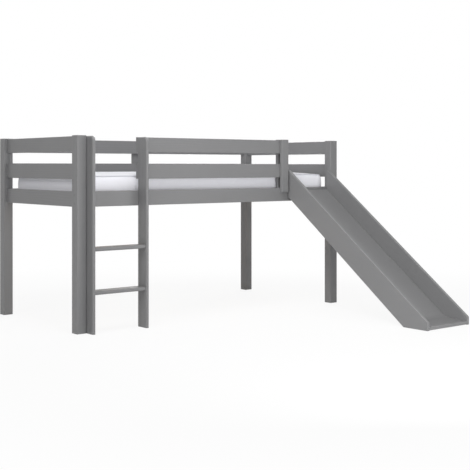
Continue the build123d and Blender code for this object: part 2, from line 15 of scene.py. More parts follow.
import bmesh
import bpy
import numpy as np
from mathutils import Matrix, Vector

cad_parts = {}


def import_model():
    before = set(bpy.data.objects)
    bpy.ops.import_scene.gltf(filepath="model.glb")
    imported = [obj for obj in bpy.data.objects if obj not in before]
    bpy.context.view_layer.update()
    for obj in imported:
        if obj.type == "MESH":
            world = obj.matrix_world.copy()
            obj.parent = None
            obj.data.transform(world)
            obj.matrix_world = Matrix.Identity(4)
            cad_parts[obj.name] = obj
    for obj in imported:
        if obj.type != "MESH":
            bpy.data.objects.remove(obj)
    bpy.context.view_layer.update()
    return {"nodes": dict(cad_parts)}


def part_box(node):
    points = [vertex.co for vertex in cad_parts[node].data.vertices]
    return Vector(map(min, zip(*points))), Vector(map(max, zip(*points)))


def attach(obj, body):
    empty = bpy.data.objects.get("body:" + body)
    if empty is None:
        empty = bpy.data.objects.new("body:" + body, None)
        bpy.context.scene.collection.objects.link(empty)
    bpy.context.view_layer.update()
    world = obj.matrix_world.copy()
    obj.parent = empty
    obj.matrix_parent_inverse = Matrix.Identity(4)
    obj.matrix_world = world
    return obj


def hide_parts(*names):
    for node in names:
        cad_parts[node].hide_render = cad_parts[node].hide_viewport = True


LOG = logging.getLogger("loft_bed")

Array = np.ndarray
Colour = tuple[float, float, float]
Triple = tuple[float, float, float]
Span = tuple[float, float]
Piece = bpy.types.Object
Material = bpy.types.Material
Node = bpy.types.Node
Socket = bpy.types.NodeSocket
Tree = bpy.types.NodeTree

FLOAT = "NodeSocketFloat"
VECTOR = "NodeSocketVector"
COLOUR = "NodeSocketColor"

SLIDE_ANGLE = math.radians(36.4)
WHITE = (1.0, 1.0, 1.0, 1.0)
ZERO_TO_ONE = (0.0, 1.0)
NO_LENGTH = 1e-9

# The display curve of an sRGB picture: a straight toe and then a power.
FULL_LEVEL = 255
TOE_END = 0.04045
TOE_SLOPE = 12.92
CURVE_OFFSET = 0.055
CURVE_POWER = 2.4


def linear(levels: Colour) -> tuple[float, float, float, float]:
    """Turns display levels into linear light.

    Args:
        levels: Red, green and blue from 0 to 255, as a picture shows them.

    Returns:
        The same colour in linear light, opaque.
    """
    shares = np.asarray(levels, float) / FULL_LEVEL
    toe = shares / TOE_SLOPE
    curve = ((shares + CURVE_OFFSET) / (1 + CURVE_OFFSET)) ** CURVE_POWER
    made = np.where(shares <= TOE_END, toe, curve)
    return float(made[0]), float(made[1]), float(made[2]), 1.0


class Grain(Enum):
    """Which way a board's grain runs, with the turn that lays it along X."""

    ALONG_BED = (0.0, 0.0, 0.0)
    ACROSS_BED = (0.0, 0.0, -math.pi / 2)
    UPRIGHT = (0.0, math.pi / 2, 0.0)
    DOWN_SLIDE = (-SLIDE_ANGLE, 0.0, -math.pi / 2)


class Sheet:
    """A node tree that is written from left to right."""

    mix_colours = (6, 7)
    mix_result = 2
    bend_detail = 2.0

    def __init__(self, tree: Tree) -> None:
        """Starts on an emptied tree."""
        self.tree = tree
        tree.nodes.clear()

    def feed(self, node: Node, inputs: dict) -> None:
        """Sets a node's inputs, given by name or number, to values or to sockets to link from."""
        for name, value in inputs.items():
            if isinstance(value, Socket):
                self.tree.links.new(value, node.inputs[name])
            else:
                node.inputs[name].default_value = value

    def add(self, kind: str, inputs: dict | None = None, **settings: object) -> Node:
        """Adds a node of a kind with these inputs and properties, and returns it."""
        node = self.tree.nodes.new(kind)
        for name, value in settings.items():
            setattr(node, name, value)
        self.feed(node, inputs or {})
        return node

    def row(self, kind: str, *values: object, **settings: object) -> Node:
        """Adds a node whose first inputs take the values in order."""
        return self.add(kind, dict(enumerate(values)), **settings)

    def calculate(self, operation: str, *values: object) -> Socket:
        """Adds a Math node with these values or sockets, and returns its result."""
        return self.row("ShaderNodeMath", *values, operation=operation).outputs[0]

    def blend(self, first: Socket, second: Socket, share: float) -> Socket:
        """Adds two values, the second by its share and the first by the rest."""
        kept = self.calculate("MULTIPLY", first, 1.0 - share)
        return self.calculate("ADD", kept, self.calculate("MULTIPLY", second, share))

    def noise(self, vector: Socket, scale: float, detail: float, distortion: float = 0.0) -> Socket:
        """Adds a Noise texture on a vector, and returns its value from 0 to 1."""
        inputs = {"Vector": vector, "Scale": scale, "Detail": detail, "Distortion": distortion}
        return self.add("ShaderNodeTexNoise", inputs).outputs["Fac"]

    def wander(self, given: Node, broad: dict, close: dict, share: float) -> Socket:
        """Blends two noises on a group's Vector, the second by its share, into its Amount about zero."""
        vector = given.outputs["Vector"]
        both = self.blend(self.noise(vector, **broad), self.noise(vector, **close), share)
        return self.calculate("MULTIPLY", self.calculate("SUBTRACT", both, 0.5), given.outputs["Amount"])

    def spread(self, value: Socket, source: Span, target: Span) -> Socket:
        """Adds a Map Range node that takes one span to another, held at both ends."""
        return self.row("ShaderNodeMapRange", value, *source, *target, clamp=True).outputs[0]

    def stretch(self, vector: Socket, scale: Triple) -> Socket:
        """Multiplies a vector's parts, and returns the result."""
        return self.row("ShaderNodeVectorMath", vector, scale, operation="MULTIPLY").outputs[0]

    def bend(self, vector: Socket, place: Socket, scale: float, reach: Triple) -> Socket:
        """Moves a vector by noise read at a place, by its reach where the noise is full."""
        inputs = {"Vector": place, "Scale": scale, "Detail": self.bend_detail}
        noise = self.add("ShaderNodeTexNoise", inputs).outputs["Color"]
        moved = self.row("ShaderNodeVectorMath", vector, self.stretch(noise, reach), operation="ADD")
        return moved.outputs[0]

    def mix(self, share: Socket, first: object, second: object) -> Socket:
        """Mixes two colours, the second by its share."""
        first_input, second_input = self.mix_colours
        inputs = {0: share, first_input: first, second_input: second}
        return self.add("ShaderNodeMix", inputs, data_type="RGBA").outputs[self.mix_result]

    def toned(self, colour: Socket, value: Socket) -> Socket:
        """A colour made lighter or darker by a factor."""
        node = self.add("ShaderNodeHueSaturation", {"Value": value, "Color": colour})
        return node.outputs["Color"]


def new_group(name: str, inputs: dict[str, str], outputs: dict[str, str]) -> tuple[Sheet, Node]:
    """Makes an empty shader node group with named sockets.

    Args:
        name: The group's name.
        inputs: Input name to socket type.
        outputs: Output name to socket type.

    Returns:
        The group's sheet and its input node.
    """
    tree = bpy.data.node_groups.new(name, "ShaderNodeTree")
    for side, sockets in {"INPUT": inputs, "OUTPUT": outputs}.items():
        for socket, kind in sockets.items():
            tree.interface.new_socket(name=socket, in_out=side, socket_type=kind)
    sheet = Sheet(tree)
    return sheet, sheet.add("NodeGroupInput")


class Effects:
    """The node groups that more than one finish uses."""

    def __init__(self) -> None:
        """Builds every group once."""
        self.grain = self._grain()
        self.knots = self._knots()
        self.drift = self._drift()
        self.handling = self._handling()
        self.weave = self._weave()

    @staticmethod
    def _grain() -> Tree:
        """Growth rings round a far axis, cut by fine fibres that are long along X.

        The rings are a sine of the distance from a line along X, bent by slow noise. The fibres are noise
        stretched sixty times along X. Out come a tone around one half and a height.
        """
        slow_stretch = (0.35, 3.0, 3.0)
        slow_scale = 1.6
        slow_reach = (0.0, 0.09, 0.09)
        ring_stretch = (0.04, 1.0, 1.0)
        ring_look = {"Scale": 38.0, "Distortion": 1.2, "Detail": 2.0, "Detail Scale": 1.4}
        ring_height = 0.35
        fibre_stretch = (6.0, 360.0, 360.0)
        fibre_detail = 4.0
        inputs = {"Vector": VECTOR, "Rings": FLOAT}
        sheet, given = new_group("board_grain", inputs, {"Tone": FLOAT, "Height": FLOAT})
        vector = given.outputs["Vector"]
        slow = sheet.stretch(vector, slow_stretch)
        bent = sheet.bend(sheet.stretch(vector, ring_stretch), slow, slow_scale, slow_reach)
        rings = sheet.add(
            "ShaderNodeTexWave",
            {"Vector": bent, **ring_look},
            wave_type="RINGS",
            rings_direction="X",
            wave_profile="SIN",
        ).outputs["Fac"]
        fibres = sheet.noise(sheet.stretch(vector, fibre_stretch), 1.0, fibre_detail)
        share = given.outputs["Rings"]
        ringed = sheet.calculate("MULTIPLY", rings, share)
        plain = sheet.calculate("MULTIPLY", fibres, sheet.calculate("SUBTRACT", 1.0, share))
        tone = sheet.calculate("ADD", ringed, plain)
        height = sheet.calculate("ADD", sheet.calculate("MULTIPLY", rings, ring_height), fibres)
        sheet.add("NodeGroupOutput", {"Tone": tone, "Height": height})
        return sheet.tree

    @staticmethod
    def _knots() -> Tree:
        """Oval knots near scattered points, drawn out along X, with rings by a sine of the distance."""
        knot_stretch = (2.4, 5.0, 5.0)
        wander_scale = 60.0
        wander_reach = (0.05, 0.05, 0.05)
        edge = (0.04, 0.075)
        ring_edge = (0.03, 0.12)
        rings = 190.0
        sheet, given = new_group("board_knots", {"Vector": VECTOR}, {"Knot": FLOAT, "Height": FLOAT})
        vector = given.outputs["Vector"]
        bent = sheet.bend(sheet.stretch(vector, knot_stretch), vector, wander_scale, wander_reach)
        scattered = {"Vector": bent, "Scale": 1.0, "Randomness": 1.0}
        distance = sheet.add("ShaderNodeTexVoronoi", scattered, feature="F1").outputs["Distance"]
        knot = sheet.spread(distance, edge, (1.0, 0.0))
        ripple = sheet.calculate("SINE", sheet.calculate("MULTIPLY", distance, rings))
        height = sheet.calculate("MULTIPLY", sheet.spread(distance, ring_edge, (1.0, 0.0)), ripple)
        sheet.add("NodeGroupOutput", {"Knot": knot, "Height": height})
        return sheet.tree

    @staticmethod
    def _drift() -> Tree:
        """A colour that grows a little lighter and darker over a hand's breadth."""
        broad = {"scale": 2.2, "detail": 2.0}
        close = {"scale": 14.0, "detail": 3.0}
        close_share = 0.35
        inputs = {"Vector": VECTOR, "Color": COLOUR, "Amount": FLOAT}
        sheet, given = new_group("colour_drift", inputs, {"Color": COLOUR})
        value = sheet.calculate("ADD", sheet.wander(given, broad, close, close_share), 1.0)
        sheet.add("NodeGroupOutput", {"Color": sheet.toned(given.outputs["Color"], value)})
        return sheet.tree

    @staticmethod
    def _handling() -> Tree:
        """Roughness with rubbed patches and fine specks, as use and dust leave them."""
        patches = {"scale": 7.0, "detail": 5.0, "distortion": 0.6}
        specks = {"scale": 260.0, "detail": 2.0}
        speck_share = 0.3
        inputs = {"Vector": VECTOR, "Roughness": FLOAT, "Amount": FLOAT}
        sheet, given = new_group("handling_marks", inputs, {"Roughness": FLOAT})
        signed = sheet.wander(given, patches, specks, speck_share)
        roughness = sheet.calculate("ADD", given.outputs["Roughness"], signed)
        sheet.add("NodeGroupOutput", {"Roughness": roughness})
        return sheet.tree

    @staticmethod
    def _weave() -> Tree:
        """A woven cloth: the product of two crossed rows of sine threads, on a map in metres."""
        slub_stretch = (40.0, 420.0, 1.0)
        slub_detail = 3.0
        slub_share = 0.7
        inputs = {"Vector": VECTOR, "Threads": FLOAT}
        sheet, given = new_group("cloth_weave", inputs, {"Height": FLOAT, "Tone": FLOAT})
        parts = sheet.row("ShaderNodeSeparateXYZ", given.outputs["Vector"])
        turn = sheet.calculate("MULTIPLY", given.outputs["Threads"], 2 * math.pi)
        warp = sheet.calculate("SINE", sheet.calculate("MULTIPLY", parts.outputs["X"], turn))
        weft = sheet.calculate("SINE", sheet.calculate("MULTIPLY", parts.outputs["Y"], turn))
        height = sheet.spread(sheet.calculate("MULTIPLY", warp, weft), (-1.0, 1.0), ZERO_TO_ONE)
        slub = sheet.noise(sheet.stretch(given.outputs["Vector"], slub_stretch), 1.0, slub_detail)
        sheet.add("NodeGroupOutput", {"Height": height, "Tone": sheet.blend(height, slub, slub_share)})
        return sheet.tree


class Canvas(Sheet):
    """The sheet of a new material, with a Principled shader and the place on its piece."""

    def __init__(self, name: str, effects: Effects, turn: Triple) -> None:
        """Makes the material, with the shared node groups and the turn of its pattern."""
        self.material = bpy.data.materials.new(name)
        self.material.use_nodes = True
        super().__init__(self.material.node_tree)
        self.effects = effects
        self.shader = self.add("ShaderNodeBsdfPrincipled")
        self.add("ShaderNodeOutputMaterial", {"Surface": self.shader.outputs["BSDF"]})
        place = self.add("ShaderNodeTexCoord").outputs["Object"]
        turned = self.add("ShaderNodeMapping", {"Vector": place, "Rotation": turn}, vector_type="POINT")
        self.place = turned.outputs["Vector"]

    def effect(self, name: str, **inputs: object) -> bpy.types.NodeOutputs:
        """Places one of the shared effects on the piece, and returns its outputs."""
        given = {"Vector": self.place, **inputs}
        return self.add("ShaderNodeGroup", given, node_tree=getattr(self.effects, name)).outputs


@dataclass(frozen=True)
class Surface:
    """What changes over a finish: its colour, its roughness and its height."""

    colour: Socket
    roughness: Socket
    height: Socket


@dataclass(frozen=True, kw_only=True)
class Finish:
    """A Principled finish whose colour drifts, with handling marks and a fine relief.

    Lightness wanders over the whole of drift, and roughness over that of marks. The relief is in metres.
    """

    name: str
    grain: Grain = Grain.ALONG_BED
    colour: Colour
    drift: float
    roughness: float
    marks: float
    relief: float
    relief_strength: float

    def surface(self, canvas: Canvas) -> Surface:
        """What changes over the finish, which each kind works out."""
        raise NotImplementedError

    def constants(self) -> dict[str, float]:
        """The shader's own values, by socket."""
        return {}

    def drifting(self, canvas: Canvas, colour: Socket | None = None) -> Socket:
        """A colour, or else the finish's own, that drifts over the piece."""
        given = linear(self.colour) if colour is None else colour
        return canvas.effect("drift", Color=given, Amount=self.drift)["Color"]

    def marked(self, canvas: Canvas) -> Socket:
        """The roughness with its handling marks."""
        return canvas.effect("handling", Roughness=self.roughness, Amount=self.marks)["Roughness"]

    def material(self, effects: Effects) -> Material:
        """Builds the finish as a new material with the shared effects."""
        canvas = Canvas(self.name, effects, self.grain.value)
        surface = self.surface(canvas)
        relief = {"Height": surface.height, "Strength": self.relief_strength, "Distance": self.relief}
        normal = canvas.add("ShaderNodeBump", relief).outputs["Normal"]
        shown = {"Base Color": surface.colour, "Roughness": surface.roughness, "Normal": normal}
        canvas.feed(canvas.shader, {**shown, **self.constants()})
        return canvas.material


@dataclass(frozen=True, kw_only=True)
class LacqueredBoard(Finish):
    """Opaque satin lacquer on pine, with the grain just felt through it."""

    colour: Colour = (127.0, 127.0, 128.0)
    drift: float = 0.10
    roughness: float = 0.42
    marks: float = 0.16
    relief: float = 0.00014
    relief_strength: float = 0.55
    specular: float = 0.42
    ring_share: float = 0.45
    tone_span: Span = (0.2, 0.8)
    tone: float = 0.03
    knot_tone: float = 0.03

    def surface(self, canvas: Canvas) -> Surface:
        """The drifting colour, toned by grain and knots, and the height of both."""
        grain = canvas.effect("grain", Rings=self.ring_share)
        knots = canvas.effect("knots")
        value = canvas.spread(grain["Tone"], self.tone_span, (1.0 - self.tone, 1.0 + self.tone))
        dark = canvas.calculate("MULTIPLY", knots["Knot"], self.knot_tone)
        dimmed = canvas.calculate("SUBTRACT", value, dark)
        colour = canvas.toned(self.drifting(canvas), dimmed)
        height = canvas.calculate("ADD", grain["Height"], knots["Height"])
        return Surface(colour, self.marked(canvas), height)

    def constants(self) -> dict[str, float]:
        """A little less gloss than plain lacquer."""
        return {"Specular IOR Level": self.specular}


@dataclass(frozen=True, kw_only=True)
class SlidePanelLacquer(Finish):
    """Smooth lacquer on the slide's panel, rubbed in fine lines down the slope."""

    name: str = "slide_panel_lacquer"
    grain: Grain = Grain.DOWN_SLIDE
    colour: Colour = (127.0, 127.0, 128.0)
    drift: float = 0.08
    roughness: float = 0.36
    marks: float = 0.14
    relief: float = 0.00006
    relief_strength: float = 0.3
    line_stretch: Triple = (3.0, 220.0, 3.0)
    line_detail: float = 5.0
    rubbed_span: Span = (0.56, 0.72)
    rubbed_light: float = 0.4
    rubbed_share: float = 0.05
    rubbed_roughness: float = 0.08

    def surface(self, canvas: Canvas) -> Surface:
        """The drifting colour under pale rubbed lines, which are a little rougher."""
        lines = canvas.noise(canvas.stretch(canvas.place, self.line_stretch), 1.0, self.line_detail)
        rubbed = canvas.spread(lines, self.rubbed_span, ZERO_TO_ONE)
        pale = (self.rubbed_light, self.rubbed_light, self.rubbed_light, 1.0)
        share = canvas.calculate("MULTIPLY", rubbed, self.rubbed_share)
        colour = canvas.mix(share, self.drifting(canvas), pale)
        more = canvas.calculate("MULTIPLY", rubbed, self.rubbed_roughness)
        return Surface(colour, canvas.calculate("ADD", self.marked(canvas), more), lines)


@dataclass(frozen=True, kw_only=True)
class PlainWood(Finish):
    """Planed, untreated wood with darker knots. Its own colour is that of the early wood."""

    late: Colour
    knot: Colour = (122.0, 78.0, 44.0)
    drift: float = 0.22
    roughness: float = 0.62
    marks: float = 0.12
    relief: float = 0.0002
    relief_strength: float = 0.6
    ring_share: float = 0.7
    ring_span: Span = (0.25, 0.8)

    def surface(self, canvas: Canvas) -> Surface:
        """The rings and knots in their colours, which drift, and the grain's height."""
        grain = canvas.effect("grain", Rings=self.ring_share)
        knots = canvas.effect("knots")
        ringed = canvas.spread(grain["Tone"], self.ring_span, ZERO_TO_ONE)
        wood = canvas.mix(ringed, linear(self.colour), linear(self.late))
        knotted = canvas.mix(knots["Knot"], wood, linear(self.knot))
        return Surface(self.drifting(canvas, knotted), self.marked(canvas), grain["Height"])


@dataclass(frozen=True, kw_only=True)
class FineSkin(Finish):
    """A plating, a coating or a moulded skin: one drifting colour, with one fine noise as its relief."""

    skin_stretch: Triple
    skin_detail: float = 2.0
    metallic: float = 0.0

    def surface(self, canvas: Canvas) -> Surface:
        """The drifting colour and the noise."""
        skin = canvas.noise(canvas.stretch(canvas.place, self.skin_stretch), 1.0, self.skin_detail)
        return Surface(self.drifting(canvas), self.marked(canvas), skin)

    def constants(self) -> dict[str, float]:
        """How far it is bare metal."""
        return {"Metallic": self.metallic}


@dataclass(frozen=True, kw_only=True)
class Ticking(Finish):
    """White woven mattress cloth with a soft sheen, its weave on the piece's own map."""

    map_name: str
    colour: Colour = (246.0, 246.0, 252.0)
    drift: float = 0.05
    roughness: float = 0.86
    marks: float = 0.1
    relief: float = 0.00025
    relief_strength: float = 0.5
    threads_per_metre: float = 900.0
    tone_span: Span = (0.2, 0.8)
    tone: Span = (0.965, 1.0)
    sheen: float = 0.25
    sheen_roughness: float = 0.5

    def surface(self, canvas: Canvas) -> Surface:
        """The drifting colour, toned by the weave, and the weave's height."""
        cover = canvas.add("ShaderNodeUVMap", uv_map=self.map_name).outputs["UV"]
        weave = canvas.effect("weave", Vector=cover, Threads=self.threads_per_metre)
        value = canvas.spread(weave["Tone"], self.tone_span, self.tone)
        colour = canvas.toned(self.drifting(canvas), value)
        return Surface(colour, self.marked(canvas), weave["Height"])

    def constants(self) -> dict[str, float]:
        """The fuzz of the yarn, as sheen."""
        return {"Sheen Weight": self.sheen, "Sheen Roughness": self.sheen_roughness}


def linked(name: str, data: bpy.types.ID) -> Piece:
    """Makes an object of its data, and links it to the scene."""
    made = bpy.data.objects.new(name, data)
    bpy.context.scene.collection.objects.link(made)
    return made


def mesh_object(name: str, points: Array, faces: Array, smooth: bool = True) -> Piece:
    """Makes a mesh object from arrays.

    Args:
        name: The piece's name.
        points: Vertex places, one row each.
        faces: Vertex numbers, one row for each face.
        smooth: Whether its faces are shaded smooth.

    Returns:
        The new object, linked to the scene.
    """
    mesh = bpy.data.meshes.new(name)
    mesh.from_pydata(points.tolist(), [], faces.tolist())
    mesh.polygons.foreach_set("use_smooth", np.full(len(mesh.polygons), smooth))
    mesh.update()
    return linked(name, mesh)


def add_map(piece: Piece, name: str, corners: Array) -> None:
    """Gives a mesh a UV map, one row for each face corner."""
    layer = piece.data.uv_layers.new(name=name)
    layer.data.foreach_set("uv", corners.astype(np.float32).ravel())


def ring_faces(rows: int, columns: int) -> Array:
    """Quads between rows of points, each row a closed ring.

    Args:
        rows: Number of rows.
        columns: Number of points in a row.

    Returns:
        Four vertex numbers for each face: right, then up.
    """
    row = np.arange(rows - 1)[:, None]
    column = np.arange(columns)[None, :]
    after = (column + 1) % columns
    near = row * columns
    far = near + columns
    return np.stack([near + column, near + after, far + after, far + column], axis=-1).reshape(-1, 4)


def put_material(piece: Piece, material: Material) -> None:
    """Makes a material the only one of a piece."""
    piece.data.materials.clear()
    piece.data.materials.append(material)


def mesh_points(piece: Piece) -> Array:
    """The vertex places of a mesh, one row each."""
    points = np.zeros(len(piece.data.vertices) * 3, np.float32)
    piece.data.vertices.foreach_get("co", points)
    return points.reshape(-1, 3).astype(float)


def solids_of(piece: Piece, decimals: int = 6) -> list[Array]:
    """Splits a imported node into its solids.

    Points at the same place are one, and each triangle ties its three points together: every point takes the
    lowest number that reaches it, again and again, until nothing changes.

    Args:
        piece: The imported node's object.
        decimals: To how many places of a metre two points are the same.

    Returns:
        The points of each solid.
    """
    points = mesh_points(piece)
    piece.data.calc_loop_triangles()
    corners = np.zeros(len(piece.data.loop_triangles) * 3, np.int32)
    piece.data.loop_triangles.foreach_get("vertices", corners)
    unique, number = np.unique(np.round(points, decimals), axis=0, return_inverse=True)
    triangles = number.ravel()[corners].reshape(-1, 3)
    labels = np.arange(len(unique))
    while True:
        before = labels.copy()
        lowest = labels[triangles].min(axis=1)
        for corner in range(3):
            np.minimum.at(labels, triangles[:, corner], lowest)
        labels = labels[labels]
        if np.array_equal(before, labels):
            break
    return [unique[labels == label] for label in np.unique(labels)]


# The cover's cloth: held by a group, light, firm in its own plane, 0.6 % too large, and filled with air.
CLOTH = {
    "vertex_group_mass": "held",
    "quality": 5,
    "mass": 0.4,
    "tension_stiffness": 30,
    "compression_stiffness": 30,
    "shear_stiffness": 15,
    "bending_stiffness": 2.0,
    "shrink_min": -0.006,
    "use_pressure": True,
    "uniform_pressure_force": 3.0,
}


@dataclass
class MattressLook:
    """The mattress: a boxed foam pad in a woven cover, with a piped edge at top and bottom.

    It is the skin of a lattice of points, so its edges are rows of points. The plan's corners are round, the
    sides stand a little proud between the two edges, the top is crowned, and a cloth simulation with air
    pressure then fills the cover between its seams.
    """

    cells: tuple[int, int, int] = (132, 58, 8)
    corner: float = 0.055
    slack: float = 0.005
    side_bulge: float = 0.006
    edge_roll: float = 0.020
    roll_start: float = 0.72
    roll_gain: float = 3.0
    crown: float = 0.022
    crown_powers: tuple[int, int] = (8, 4)
    frames: int = 20
    cap: float = 0.002
    piping_radius: float = 0.0028
    piping_sides: int = 10
    piping_corner_power: int = 8
    piping_lean: float = 0.6
    piping_colour: Colour = (228.0, 228.0, 235.0)
    piping_threads: float = 1400.0
    map_name: str = "cover_map"
    low: Array = field(init=False)
    high: Array = field(init=False)

    def lattice(self) -> tuple[Array, Array, Array]:
        """The skin of the lattice.

        Returns:
            The lattice place of each point, the quads facing outwards, and for each quad the number of the
            axis that it is square to.
        """
        cells = np.array(self.cells)
        place = np.indices(cells + 1)
        skin = np.zeros(cells + 1, bool)
        for axis in range(3):
            skin |= (place[axis] == 0) | (place[axis] == cells[axis])
        numbers = np.full(cells + 1, -1)
        numbers[skin] = np.arange(int(skin.sum()))
        quads = []
        sides = []
        for axis in range(3):
            for end in (0, -1):
                plane = numbers.take(end, axis=axis)
                corners = [plane[:-1, :-1], plane[1:, :-1], plane[1:, 1:], plane[:-1, 1:]]
                quad = np.stack(corners, axis=-1)
                outward = (end == -1) != (axis == 1)
                quad = quad if outward else quad[..., ::-1]
                quads.append(quad.reshape(-1, 4))
                sides.append(np.full(quads[-1].shape[0], axis))
        places = np.stack([along[skin] for along in place], axis=-1)
        return places, np.concatenate(quads), np.concatenate(sides)

    def round_plan(self, plan: Array, half: Array) -> Array:
        """Rounds the corners of a rectangle's points.

        Inside the square at each corner a point keeps its direction from the square's inner corner, and its
        distance becomes the larger of its two offsets, so the square's outline becomes a quarter circle.

        Args:
            plan: The points, one row each, with the rectangle's middle at zero.
            half: The rectangle's half length and half width.

        Returns:
            The rounded points.
        """
        inner = half - self.corner
        offset = np.maximum(np.abs(plan) - inner, 0.0)
        largest = offset.max(axis=1)
        distance = np.hypot(offset[:, 0], offset[:, 1])
        share = np.where(distance > 0, largest / np.maximum(distance, NO_LENGTH), 0.0)
        return np.sign(plan) * (np.minimum(np.abs(plan), inner) + offset * share[:, None])

    def shape(self, lattice: Array) -> Array:
        """Places the lattice points on the mattress.

        With u and v the plan and w the height, all from -1 to 1: the sides swell by one minus the square of
        w, the plan draws in near both edges by the square of how far w is past the start of the roll, and
        the top rises by the product of one minus a power of u and one minus a power of v.

        Args:
            lattice: The lattice place of each point.

        Returns:
            The points, one row each.
        """
        share = lattice / np.array(self.cells) * 2 - 1
        half = (self.high - self.low) / 2 - np.array([self.slack, self.slack, 0.0])
        middle = (self.high + self.low) / 2
        level = share[:, 2]
        plan = self.round_plan(share[:, :2] * half[:2], half[:2])
        swell = self.side_bulge * (1 - level**2)
        draw = self.edge_roll * np.maximum(np.abs(level) - self.roll_start, 0.0) ** 2 * self.roll_gain
        scale = 1 + (swell - self.side_bulge - draw)[:, None] / half[:2]
        plan = plan * scale
        border = self.high[2] - self.low[2] - self.crown
        dome = self.crown * (1 - (plan / half[:2]) ** self.crown_powers).prod(axis=1)
        height = self.low[2] + border * (level + 1) / 2
        height = height + np.where(lattice[:, 2] == self.cells[2], dome, 0.0)
        return np.column_stack([plan[:, 0] + middle[0], plan[:, 1] + middle[1], height])

    def cover_map(self, points: Array, quads: Array, sides: Array) -> Array:
        """Lays the cover out flat, in metres: each face by the two axes that it lies along."""
        corners = points[quads]
        across = np.where(sides[:, None] == 0, corners[..., 1], corners[..., 0])
        up = np.where(sides[:, None] == 2, corners[..., 1], corners[..., 2])
        return np.stack([across, up], axis=-1).reshape(-1, 2)

    def edge_loop(self, lattice: Array, level: int) -> Array:
        """The numbers of the points round the plan at one level of the lattice, in order."""
        on_level = np.flatnonzero(lattice[:, 2] == level)
        cells_x, cells_y = self.cells[:2]
        x, y = lattice[on_level, 0], lattice[on_level, 1]
        border = (x == 0) | (x == cells_x) | (y == 0) | (y == cells_y)
        on_edge = on_level[border]
        x, y = x[border], y[border]
        walk = np.select(
            [y == 0, x == cells_x, y == cells_y],
            [x, cells_x + y, 2 * cells_x + cells_y - x],
            2 * (cells_x + cells_y) - y,
        )
        return on_edge[np.argsort(walk)]

    def swell(self, piece: Piece, held: Array) -> None:
        """Fills the cover with air pressure, held at its top seam and its flat underside.

        Args:
            piece: The mattress, whose mesh is changed.
            held: The numbers of the points that stay where they are.
        """
        rest = mesh_points(piece)
        group = piece.vertex_groups.new(name="held")
        group.add([int(number) for number in held], 1.0, "REPLACE")
        cloth = piece.modifiers.new("cover", "CLOTH")
        for setting, value in CLOTH.items():
            setattr(cloth.settings, setting, value)
        cloth.settings.effector_weights.gravity = 0.0
        cloth.collision_settings.use_collision = False
        cloth.point_cache.frame_start = 1
        cloth.point_cache.frame_end = self.frames
        scene = bpy.context.scene
        for number in range(1, self.frames + 1):
            scene.frame_set(number)
        step = mesh_points(piece.evaluated_get(bpy.context.evaluated_depsgraph_get())) - rest
        length = np.linalg.norm(step, axis=1)
        short = np.minimum(1.0, self.cap / np.maximum(length, NO_LENGTH))
        piece.modifiers.remove(cloth)
        placed = (rest + step * short[:, None]).astype(np.float32)
        piece.data.vertices.foreach_set("co", placed.ravel())
        piece.data.update()
        scene.frame_set(1)
        piece.vertex_groups.clear()

    def piping(self, name: str, loop: Array, outward: Array) -> Piece:
        """A cord sewn round an edge: a circle carried along the loop, square to it.

        Args:
            name: The piece's name.
            loop: The edge's points in order.
            outward: For each point, the direction away from the mattress.

        Returns:
            The new piece.
        """
        forward = np.roll(loop, -1, axis=0) - np.roll(loop, 1, axis=0)
        forward /= np.linalg.norm(forward, axis=1)[:, None]
        side = outward - (outward * forward).sum(axis=1)[:, None] * forward
        side /= np.linalg.norm(side, axis=1)[:, None]
        up = np.cross(forward, side)
        angle = np.linspace(0, 2 * np.pi, self.piping_sides, endpoint=False)[:, None, None]
        ring = loop + self.piping_radius * (np.cos(angle) * side + np.sin(angle) * up)
        rows, columns = ring.shape[:2]
        faces = ring_faces(rows + 1, columns) % (rows * columns)
        piece = mesh_object(name, ring.reshape(-1, 3), faces)
        run = np.cumsum(np.linalg.norm(np.diff(loop, axis=0, append=loop[:1]), axis=1))
        length = np.tile(np.concatenate([[0.0], run]), (rows + 1, 1))
        girth = np.linspace(0, 2 * np.pi * self.piping_radius, rows + 1)
        lay = np.stack([length, girth[:, None] * np.ones(columns + 1)], axis=-1)
        corners = np.stack([lay[:-1, :-1], lay[:-1, 1:], lay[1:, 1:], lay[1:, :-1]], axis=2)
        add_map(piece, self.map_name, corners.reshape(-1, 2))
        return piece

    def outward_at(self, line: Array) -> Array:
        """The direction away from the mattress at each point of an edge.

        It is square to the near side, turns at a corner, and leans up at the top and down at the bottom.
        """
        outward = (line - (self.low + self.high) / 2) / ((self.high - self.low) / 2)
        sign = np.sign(outward)
        outward[:, :2] = sign[:, :2] * np.abs(outward[:, :2]) ** self.piping_corner_power
        outward[:, 2] = sign[:, 2] * self.piping_lean
        return outward

